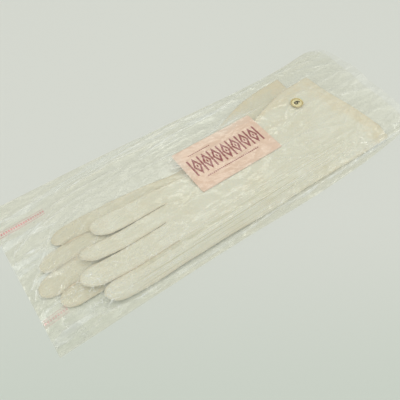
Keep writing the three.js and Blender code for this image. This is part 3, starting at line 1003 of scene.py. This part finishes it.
for i in range(len(stroke) - 1):
    for k in range(4):
        faces.append((4 * i + k, 4 * i + (k + 1) % 4, 4 * i + 4 + (k + 1) % 4, 4 * i + 4 + k))
faces += [(3, 2, 1, 0), tuple(len(points) - 4 + k for k in range(4))]
numeral_mesh = bpy.data.meshes.new("size_stud_numeral")
numeral_mesh.from_pydata(points, [], faces)
work = bmesh.new()
work.from_mesh(numeral_mesh)
bmesh.ops.recalc_face_normals(work, faces=work.faces)
work.to_mesh(numeral_mesh)
work.free()
numeral_mesh.materials.append(ink.material)
numeral = bpy.data.objects.new("size_stud_numeral", numeral_mesh)
bpy.context.scene.collection.objects.link(numeral)
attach(numeral, "right_glove")

washer_r = (washer_high[0] - washer_low[0]) / 2 / MM
wl, wh = washer_low[2] / MM, washer_high[2] / MM
washer_profile = [
    (1.5, wl), (washer_r - 0.1, wl), (washer_r, wl + 0.1),
    (washer_r, wh - 0.1), (washer_r - 0.1, wh), (1.5, wh), (1.5, wl),
]
washer = turned_ring("size_stud_ring_inside", washer_profile, stud_x, stud_y, 48)
washer.data.materials.append(gilt.material)
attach(washer, "right_glove")
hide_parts("size_stud_washer")

# ---------------------------------------------------------------------------------------------
# Card. Thin uncoated pink board, cut square with slightly blunt corners, printed in dark red
# with a plain border of lozenges and bars. It lies loose on the back of the upper glove.
# ---------------------------------------------------------------------------------------------

card_low, card_high = (np.array(c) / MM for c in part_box("card"))
card_x, card_y = (card_low[:2] + card_high[:2]) / 2
card_length, card_width = card_high[:2] - card_low[:2]

board = Finish("pink_board")
fibre = board.cloud(0.0011, 4.0, board.stretched((0.4, 1.0, 1.0), 12))
age = board.cloud(0.028, 2.0)
card_place = board.add("ShaderNodeMapping", {"vector_type": "POINT"}, {
    "Vector": board.place(),
    "Location": (-card_x, -card_y, 0.0),
    "Scale": (1000.0, 1000.0, 1000.0),
})
split = board.add("ShaderNodeSeparateXYZ", {}, {"Vector": card_place})
u = Signal(board, split.socket.node.outputs["X"])
v = Signal(board, split.socket.node.outputs["Y"])
# seven wide units of a lozenge between bars
UNIT = 11.4
in_cell = abs((u / UNIT + 40.5).part_past_whole() - 0.5) * UNIT
high_band = abs(v - 1.5)
lozenge = (in_cell / 4.3 + high_band / 11.0)
hollow = (lozenge < 1.0) * (lozenge > 0.50)
bars = (in_cell > 4.75) * (high_band < 10.4)
core = lozenge < 0.22
inside_band = abs(u) < 41.0
big = (hollow + bars + core) * inside_band
dash = (u / 2.2 + 60.0).part_past_whole() < 0.6
lower_dashes = dash * (abs(v + 13.6) < 0.75) * (abs(u + 3.0) < 31.0)
upper_dashes = dash * (abs(v - 16.4) < 0.55) * (abs(u + 22.0) < 13.0)
printed = (big + lower_dashes + upper_dashes).at_most(1.0)
speckle = fibre.step(0.30, 0.62)
board_body = board.mix(0.5 * age + 0.5 * fibre, (0.800, 0.552, 0.428, 1.0), (0.836, 0.616, 0.480, 1.0))
board_colour = board.mix(printed * (0.88 + 0.12 * speckle), board_body, (0.270, 0.010, 0.020, 1.0))
board.finish(board.surface(
    base_color=board_colour,
    roughness=0.66 + 0.14 * fibre - 0.12 * printed,
    specular_ior_level=0.3,
    normal=board.bump(fibre, 0.00005, 0.5),
))

half_l, half_w = card_length / 2, card_width / 2
BLUNT = 1.0
card_loop = []
for side_x, side_y, start in ((1, -1, -90), (1, 1, 0), (-1, 1, 90), (-1, -1, 180)):
    turn_x, turn_y = side_x * (half_l - BLUNT), side_y * (half_w - BLUNT)
    for a in range(0, 91, 15):
        angle = math.radians(start + a)
        card_loop.append((turn_x + BLUNT * math.cos(angle), turn_y + BLUNT * math.sin(angle)))
card_loop = even(np.array(card_loop) + (card_x, card_y), 1.0, closed=True)
points, triangles, reach_in = filled(card_loop, 2.2, (0.15, 0.4))
board_low, board_high = card_low[2], card_high[2]
ease = 0.05 * (1 - np.clip(reach_in / 0.3, 0, 1))
top = np.column_stack([points, board_high - ease])
bottom = np.column_stack([points, board_low + ease])
card = skin("name_card_board", (top, triangles), (bottom, triangles), len(card_loop))
card.data.materials.append(board.material)
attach(card, "card")
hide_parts("card")

# ---------------------------------------------------------------------------------------------
# Sleeve. Two sheets of thin clear film, welded along both long sides and the closed end. The back
# one lies on the table and the front one hangs over the gloves and card, crinkled with handling.
# ---------------------------------------------------------------------------------------------

# the sleeve's two long edges, at stations along each
near_x = np.array([-209.0, -38.0, 58.0, 120.0, 170.0, 212.0])
near_y = np.array([-77.8, -79.4, -82.6, -81.6, -78.2, -77.5])
far_x = np.array([-209.0, -46.0, 40.0, 90.0, 143.0, 185.0, 212.0])
far_y = np.array([77.5, 75.4, 72.0, 71.0, 72.0, 76.5, 77.5])
CLOSED_END = -208.5
MOUTH = 205.0
MOUTH_WIDTH = 154.0


def film_plan(rows, columns):
    """Places of a grid over the sleeve's plan, which is round at the mouth's corners. Rows run along it."""
    u, v = np.meshgrid(np.linspace(0, 1, rows), np.linspace(0, 1, columns), indexing="ij")
    across = MOUTH_WIDTH * v
    near_round = 1 - np.sqrt(1 - (1 - np.clip(across / 34.0, 0, 1)) ** 2 + 1e-9)
    far_round = 1 - np.sqrt(1 - (1 - np.clip((MOUTH_WIDTH - across) / 19.0, 0, 1)) ** 2 + 1e-9)
    end = MOUTH - 8.0 * (1 - v) - 34.0 * near_round - 21.0 * far_round
    end = end + 0.8 * np.sin(9.0 * v + 1.0) + 0.5 * np.sin(23.0 * v)
    x = CLOSED_END + (end - CLOSED_END) * u
    y = smooth(near_x, near_y, x) * (1 - v) + smooth(far_x, far_y, x) * v
    return x, y


def film_mesh(name, x, y, z, saved):
    """A sheet of film over a grid of places in mm, with values saved on its points."""
    rows, columns = x.shape
    points = np.column_stack([x.ravel(), y.ravel(), z.ravel()]) * MM
    index = np.arange(rows * columns).reshape(rows, columns)
    a, b, c, d = index[:-1, :-1], index[1:, :-1], index[1:, 1:], index[:-1, 1:]
    faces = np.stack([a, b, c, d], axis=-1).reshape(-1, 4)
    mesh = bpy.data.meshes.new(name)
    mesh.from_pydata(points.tolist(), [], faces.tolist())
    for key, values in saved.items():
        data = np.asarray(values, np.float32).ravel()
        mesh.attributes.new(key, "FLOAT", "POINT").data.foreach_set("value", data)
    for polygon in mesh.polygons:
        polygon.use_smooth = True
    item = bpy.data.objects.new(name, mesh)
    bpy.context.scene.collection.objects.link(item)
    return item


# the two printed rows by the closed end: from x, to x, y and strength
PRINT_ROWS = ((-207.0, -164.0, 47.0, 0.85), (-208.0, -187.0, -48.5, 0.70))


def clear_film(name, haze, with_print):
    """Clear film: see-through, glossy on its crinkles, and whiter along creases and welds, with painted
    highlights on crests and glints and painted shade in troughs and hollows.
    """
    made = Finish(name)
    crease = made.saved("crease")
    weld = made.saved("weld")
    veil = made.cloud(0.045, 3.0, made.stretched((0.35, 1.0, 1.0), -8), bend=0.4)
    streak = made.cloud(0.0042, 4.0, made.stretched((0.16, 1.0, 1.0), 14), 0.6, 0.8)
    facets = made.cells(0.0105, "DISTANCE_TO_EDGE", made.stretched((0.45, 1.0, 1.0), -17))
    small = made.cells(0.0036, "DISTANCE_TO_EDGE", made.stretched((0.6, 1.0, 1.0), 33))
    crackle = facets.step(0.05, 0.0) * veil.step(0.45, 0.7)
    glint = made.cloud(0.0034, 3.0, made.stretched((0.22, 1.0, 1.0), 8), 0.55, 1.2).step(0.60, 0.72)
    loose = made.saved("loose")
    glint = glint * veil.step(0.40, 0.58) * loose
    # fine straight creases run side by side where the film is drawn over the gloves' folded edges; their
    # crests carry a painted highlight and their hollows painted shade
    lively = made.saved("lively")
    grooves = made.cloud(0.0017, 1.0, made.stretched((0.012, 1.0, 1.0), -1.5), 0.5, 0.3)
    lined = made.saved("lined")
    lines = grooves.step(0.54, 0.66) * lined
    hollows = grooves.step(0.46, 0.36) * lined
    # painted highlight: white flecks on the small crinkles over the fingers
    fleck_highlight = small.step(0.06, 0.0) * streak.step(0.42, 0.62) * (lively - 1.0).at_least(0.0)
    white = haze * (0.35 + veil) + (0.18 + 0.20 * loose) * crease + 0.10 * crackle + 0.05 * weld
    white = white + 0.22 * lines + 0.22 * hollows + 0.28 * glint
    # where the film lies loose it is painted with broad bands along the sleeve: paler, bluer ones as a painted
    # highlight, and yellower ones
    bands = made.cloud(0.010, 2.0, made.stretched((0.09, 1.0, 1.0), -3.0), 0.5, 0.7)
    highlight_band = bands.step(0.50, 0.64) * loose
    dull_band = bands.step(0.47, 0.36) * loose
    white = white + 0.20 * highlight_band + 0.06 * dull_band
    white = white + streak.step(0.60, 0.86) * 0.16 * veil.step(0.35, 0.65) * lively + 1.5 * fleck_highlight
    white = white * made.saved("cloudy")
    mirror = made.add("ShaderNodeFresnel", {}, {"IOR": 1.45}) * 1.5
    share = (white + mirror).at_most(0.92)
    colour = made.mix(weld * 0.3, (0.790, 0.808, 0.735, 1.0), (0.812, 0.828, 0.765, 1.0))
    # painted highlight: the glints and the crests of loose folds are painted paler and bluer
    glow = (glint + 0.8 * crease * loose).at_most(1.0)
    colour = made.mix(highlight_band * 0.8, colour, (0.850, 0.895, 0.870, 1.0))
    colour = made.mix(dull_band * 0.45, colour, (0.820, 0.795, 0.650, 1.0))
    colour = made.mix(glow, colour, (0.900, 0.930, 0.910, 1.0))
    if with_print:
        # painted shade: the troughs of loose folds are painted yellower
        valley_shade = made.saved("valley") * loose
        share = (share + 0.16 * valley_shade).at_most(0.92)
        colour = made.mix(valley_shade * 0.6, colour, (0.810, 0.755, 0.540, 1.0))
        # painted shade: the hollows of the fine creases are painted darker
        colour = made.mix(hollows * 0.8, colour, (0.520, 0.500, 0.330, 1.0))
        colour = made.mix(made.saved("doubled") * 0.7, colour, (0.640, 0.660, 0.590, 1.0))
        at = made.add("ShaderNodeSeparateXYZ", {}, {"Vector": made.place()})
        x = Signal(made, at.socket.node.outputs["X"]) * 1000.0
        y = Signal(made, at.socket.node.outputs["Y"]) * 1000.0
        in_dash = (x / 2.3 + 300.0).part_past_whole()
        dye = 0.0
        for from_x, to_x, at_y, strength in PRINT_ROWS:
            in_run = (x > from_x) * (x < to_x)
            rules = abs(abs(y - at_y) - 3.1) < 0.32
            dashes = (abs(y - at_y) < 1.15) * (in_dash < 0.62)
            smear = (abs(y - at_y) < 2.9) * 0.42
            dye = dye + strength * in_run * (rules + dashes + smear) * (0.35 + veil)
        colour = made.mix(dye.at_most(1.0), colour, (0.80, 0.22, 0.26, 1.0))
        share = share.at_least(dye * 0.60)
    metal = (mirror / (mirror + white)).at_most(1.0)
    ripple = made.bump((facets.step(0.0, 0.30) * 0.8 + veil * 1.2) * lively, 0.0010, 0.6)
    fine = (small.step(0.0, 0.35) * 0.5 + streak) * lively + lines * 1.4
    crinkle = made.bump(fine, 0.00022, 0.5, over=ripple)
    body = made.surface(
        base_color=colour,
        metallic=metal,
        roughness=0.11 + 0.16 * veil,
        normal=crinkle,
        specular_ior_level=0.5,
    )
    clear = made.add("ShaderNodeBsdfTransparent", {}, {"Color": (0.996, 0.991, 0.967, 1.0)})
    # haze scatters light onwards, so it hardly shades what lies under it
    lamp_ray = made.add("ShaderNodeLightPath", out="Is Shadow Ray")
    sky_ray = made.add("ShaderNodeLightPath", out="Is Diffuse Ray")
    passed = (lamp_ray + sky_ray).at_most(1.0)
    both = made.add("ShaderNodeMixShader", {}, {0: share * (1.0 - 0.92 * passed), 1: clear, 2: body})
    return made.finish(both)


front_finish = clear_film("film_front", 0.13, True)
back_finish = clear_film("film_back", 0.03, False)


def weld_mask(x, y):
    """1 on the welded margins."""
    near = np.abs(y - smooth(near_x, near_y, x))
    far = np.abs(smooth(far_x, far_y, x) - y)
    end = x - CLOSED_END
    edge = np.minimum(np.minimum(near, far), end)
    return np.clip(1.6 - edge, 0, 1)


BACK_Z = 0.12
x, y = film_plan(200, 80)
z = np.full_like(x, BACK_Z)
kept = {"crease": np.zeros_like(x), "weld": weld_mask(x, y), "cloudy": np.ones_like(x)}
kept["lively"] = np.ones_like(x)
back = film_mesh("sleeve_back", x, y, z, kept)
back.data.materials.append(back_finish)
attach(back, "sleeve")
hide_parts("sleeve_back_film")

# what the front film lies on: the tops of everything in the sleeve, drawn out towards the mouth,
# so that the gloves and card slide out under it
contents = [glove["trank"] for glove in GLOVES.values()] + [glove["thumb"] for glove in GLOVES.values()]
contents += [cup, face, card]
raster_x = np.arange(-215.0, 216.0, 1.0)
raster_y = np.arange(-90.0, 91.0, 1.0)
tops = np.zeros((len(raster_x), len(raster_y)))
for item in contents:
    tree = BVHTree.FromPolygons([v.co.copy() for v in item.data.vertices],
                                [tuple(p.vertices) for p in item.data.polygons])
    for i, px in enumerate(raster_x):
        for j, py in enumerate(raster_y):
            hit = tree.ray_cast(Vector((px * MM, py * MM, 0.05)), Vector((0.0, 0.0, -1.0)))
            if hit[0] is not None:
                tops[i, j] = max(tops[i, j], hit[0][2] / MM)
CARD_TRAVEL = 100.0
slack_end = 4.0 + 3.0 * np.sin(raster_y / 5.0) + 2.0 * np.sin(raster_y / 2.3 + 1.0)
reach_back = card_low[0] - CARD_TRAVEL - slack_end[None, :]
in_card = (raster_x[:, None] > reach_back) & (np.abs(raster_y[None, :] - card_y) < half_w + 0.6)
swept = np.maximum.accumulate(np.where(in_card, np.maximum(tops, card_high[2]), tops), axis=0)


def raster_at(values, x, y):
    """Heights on the 1 mm raster, read between its points."""
    i = np.clip((x - raster_x[0]), 0, len(raster_x) - 1.001)
    j = np.clip((y - raster_y[0]), 0, len(raster_y) - 1.001)
    i0, j0 = i.astype(int), j.astype(int)
    s, t = i - i0, j - j0
    first = values[i0, j0] * (1 - t) + values[i0, j0 + 1] * t
    second = values[i0 + 1, j0] * (1 - t) + values[i0 + 1, j0 + 1] * t
    return first * (1 - s) + second * s


x, y = film_plan(390, 148)
weld = weld_mask(x, y)
# the sheet is drawn tight by levelling each point between its neighbours, never below what it lies on
WELD_Z, CLEARANCE, STRETCH_STEPS = 0.42, 0.28, 1400
under = np.maximum(raster_at(swept, x, y) + CLEARANCE, WELD_Z)
taut = under.copy()
for repeat in range(STRETCH_STEPS):
    level = taut.copy()
    level[1:-1, 1:-1] = (taut[2:, 1:-1] + taut[:-2, 1:-1] + taut[1:-1, 2:] + taut[1:-1, :-2]) / 4
    level[-1, 1:-1] = level[-2, 1:-1]
    taut = np.maximum(level, under)
    taut[:, 0] = taut[:, -1] = WELD_Z
    taut[0, :] = WELD_Z

# handling creases: long folds, short sharp ones in bunches, and a fine crumple over all
flat_x, flat_y = x.ravel(), y.ravel()
places = np.column_stack([flat_x, flat_y])
chance = random.Random(11)
folds = np.zeros(len(places))


def fold(x0, y0, x1, y1, height, width, lean=0.5):
    """A crease from one place to another: a low roof with one side steeper than the other."""
    start, end = np.array([x0, y0]), np.array([x1, y1])
    along = end - start
    length = np.linalg.norm(along)
    direction = along / length
    side = np.array([-direction[1], direction[0]])
    relative = places - start
    t = (relative @ direction) / length
    bow = 0.03 * length * np.sin(np.pi * np.clip(t, 0, 1))
    off = relative @ side - bow
    wide = np.where(off > 0, width * (1 + lean), width * (1 - lean))
    ends = np.clip(t / 0.15, 0, 1) * np.clip((1 - t) / 0.15, 0, 1)
    return height * np.exp(-np.abs(off) / wide) * ends * ends * (3 - 2 * ends)


long_folds = (
    # from x, y to x, y, height, width
    (-165, 46, -60, 44, 1.8, 3.0), (-75, 46, 40, 55, 1.8, 3.2), (-150, 55, -15, 56, 1.5, 2.4),
    (-120, 34, 0, 46, 1.8, 2.6), (-100, 62, 60, 66, 1.2, 2.2), (-185, 30, -95, 40, 1.5, 2.4),
    (-60, 38, 20, 40, 1.3, 2.0), (20, 52, 120, 66, 1.2, 3.0),
    (-205, 20, -150, 44, 0.9, 2.2), (-205, -62, -150, -72, 0.8, 1.6), (120, 66, 185, 55, 1.4, 3.0),
    (135, 58, 198, 30, 1.5, 2.6), (150, 40, 200, 5, 1.2, 2.5), (150, -5, 199, -20, 1.1, 2.4),
    (148, -40, 192, -48, 1.0, 2.2), (60, -20, 130, -38, 0.7, 1.7), (35, -28, 75, -55, 0.8, 1.5),
    (-120, 25, -20, 30, 0.9, 2.4), (-190, -5, -160, 30, 0.8, 1.8), (60, 22, 120, 30, 0.7, 1.8),
    (70, -8, 112, 2, 0.7, 1.4), (88, 30, 150, 10, 0.8, 1.8), (-40, -60, 60, -66, 0.5, 1.4),
)
for x0, y0, x1, y1, height, width in long_folds:
    folds += fold(x0, y0, x1, y1, height, width, chance.uniform(-0.4, 0.4))
for number in range(9):
    fold_x = chance.uniform(-90, 120)
    folds += fold(fold_x - 45, chance.uniform(-79.5, -76), fold_x + 45, chance.uniform(-80.5, -77),
                  chance.uniform(0.5, 1.1), 0.8, chance.uniform(-0.4, 0.4))
for number in range(22):
    fold_y = chance.uniform(-70, -40)
    fold_x = chance.uniform(-70, 110)
    run = chance.uniform(35, 90)
    folds += fold(fold_x - run / 2, fold_y + chance.uniform(-2, 2), fold_x + run / 2, fold_y,
                  chance.uniform(0.15, 0.45), chance.uniform(0.5, 1.0), chance.uniform(-0.4, 0.4))
bunches = (
    # middle, spread, how many, main direction in degrees, length
    (-120, -55, 22, 9, 60, 70, 11), (-105, -38, 18, 8, 40, 30, 12), (-175, -30, 12, 18, 34, 60, 12),
    (-150, -45, 22, 18, 26, 62, 22), (-120, 5, 34, 12, 16, 35, 26), (70, -40, 24, 14, 22, -30, 22),
    (60, 0, 20, 20, 12, 12, 24), (165, 10, 20, 45, 26, 24, 34), (20, -66, 90, 6, 26, 4, 24),
    (-60, 40, 60, 12, 18, 6, 34), (120, 45, 30, 14, 14, 30, 24), (-195, 20, 9, 40, 14, 50, 18),
    (-195, -45, 10, 24, 14, 120, 16), (-20, -20, 70, 20, 16, 20, 26), (100, -62, 50, 6, 16, 8, 22),
)
for cx, cy, sx, sy, count, degrees, length in bunches:
    for number in range(count):
        px, py = chance.gauss(cx, sx), chance.gauss(cy, sy)
        turn_by = math.radians(degrees + chance.gauss(0, 24))
        long = length * chance.uniform(0.4, 1.3)
        dx, dy = long / 2 * math.cos(turn_by), long / 2 * math.sin(turn_by)
        folds += fold(px - dx, py - dy, px + dx, py + dy, chance.uniform(0.12, 0.5), chance.uniform(0.6, 1.5),
                      chance.uniform(-0.5, 0.5))
crumple = ridged(flat_x, flat_y, 16, 2.2, 10, 5.0) ** 3 * 0.40
crumple += ridged(flat_x, flat_y, 7, 1.8, -20, 8.0) ** 3 * 0.16
off_below = np.clip((taut - under).ravel() / 1.5, 0, 1)
heave = off_below * (0.9 + 0.9 * rolling(flat_x, flat_y, 28, 2.0, 4.0))
edge_free = np.minimum.reduce([
    np.abs(flat_y - smooth(near_x, near_y, flat_x)),
    np.abs(smooth(far_x, far_y, flat_x) - flat_y),
    flat_x - CLOSED_END + 1.0,
])
hold = np.clip((edge_free - 1.2) / 3.5, 0.0, 1.0)
lift = (hold * (folds + crumple + heave)).reshape(x.shape)
z = taut + lift
bend = np.zeros_like(z)
bend[1:-1, 1:-1] = z[1:-1, 1:-1] * 4 - z[2:, 1:-1] - z[:-2, 1:-1] - z[1:-1, 2:] - z[1:-1, :-2]


def softened(values, times):
    """A grid of values, each averaged with its four neighbours a few times."""
    for repeat in range(times):
        wide = np.pad(values, 1, mode="edge")
        beside = wide[2:, 1:-1] + wide[:-2, 1:-1] + wide[1:-1, 2:] + wide[1:-1, :-2]
        values = 0.4 * values + 0.15 * beside
    return values


# film whitens on the crests of its folds, partly as haze and partly as a painted highlight, and is painted
# yellower in the troughs between them as painted shade
sharp_crease = np.clip((bend - 0.10) / 0.5, 0, 1)
crease = np.clip(0.40 * sharp_crease + 0.9 * softened(sharp_crease, 4), 0, 1)
valley = np.clip(softened(np.clip((-0.05 - bend) / 0.25, 0, 1), 2), 0, 1)
# clear where it is drawn tight over the stud, cloudier where the corner is folded double
from_stud = np.hypot(x - stud_x / MM, y - stud_y / MM)
cloudy = 1.0 - 0.88 * np.exp(-((from_stud / 9.0) ** 4))
doubled = np.clip(16 - (x + 200 + 0.25 * (y + 62)), 0, 1) * np.clip(-52 - y + 0.2 * (x + 196), 0, 1)
cloudy = cloudy + 0.7 * doubled
# and clearer where it lies close on the card's near part
into_card = np.minimum(np.minimum(x - card_low[0], card_high[0] - x), np.minimum(y - card_low[1], 24.0 - y))
cloudy = cloudy * (1.0 - 0.45 * np.clip(into_card / 5.0, 0, 1))
over_card = np.exp(-(((x - 36) / 24) ** 2) - ((y - 33 - 0.12 * (x - 36)) / 8) ** 2)
# painted light: extra haze beside the card's end towards the fingers lightens the shade under the card's
# overhang
card_shade_lift = np.exp(-(((x - card_low[0] + 1.0) / 6) ** 2))
card_shade_lift = card_shade_lift * np.clip((y + 6) / 6, 0, 1) * np.clip((38 - y) / 6, 0, 1)
cloudy = cloudy + 2.0 * over_card + 1.2 * card_shade_lift
# livelier over the fingers and the folded side, calmer over the palm, arm and cuff
over_fingers = 1 / (1 + np.exp((x + 62) / 7))
by_fold = np.exp(-(((y + 60) / 15) ** 2)) * np.clip((140 - x) / 30, 0, 1)
on_gloves = np.clip((taut - 2.5) / 3, 0, 1)
calm = on_gloves * (1 - np.maximum(over_fingers, 0.8 * by_fold))
lively = 1.0 - 0.72 * calm + (0.15 + 0.35 * np.clip((-28 - y) / 8, 0, 1)) * over_fingers * on_gloves
lined = by_fold * np.clip((x + 150) / 30, 0, 1) * np.clip((135 - x) / 40, 0, 1)
loose_film = 1.0 - 0.85 * on_gloves
kept = {"crease": crease, "weld": weld, "cloudy": cloudy, "doubled": doubled, "lively": lively, "lined": lined,
        "loose": loose_film, "valley": valley}
front = film_mesh("sleeve_front", x, y, z, kept)
front.data.materials.append(front_finish)
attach(front, "sleeve")
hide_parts("sleeve_front_film")

# ---------------------------------------------------------------------------------------------
# What each sheet was cut to, and the sizes of the finished scene.
# ---------------------------------------------------------------------------------------------

for side, glove in GLOVES.items():
    goes_with = glove["fittings"] + [glove["thumb"]]
    if side == "right":
        goes_with += [cup, face, numeral, washer]
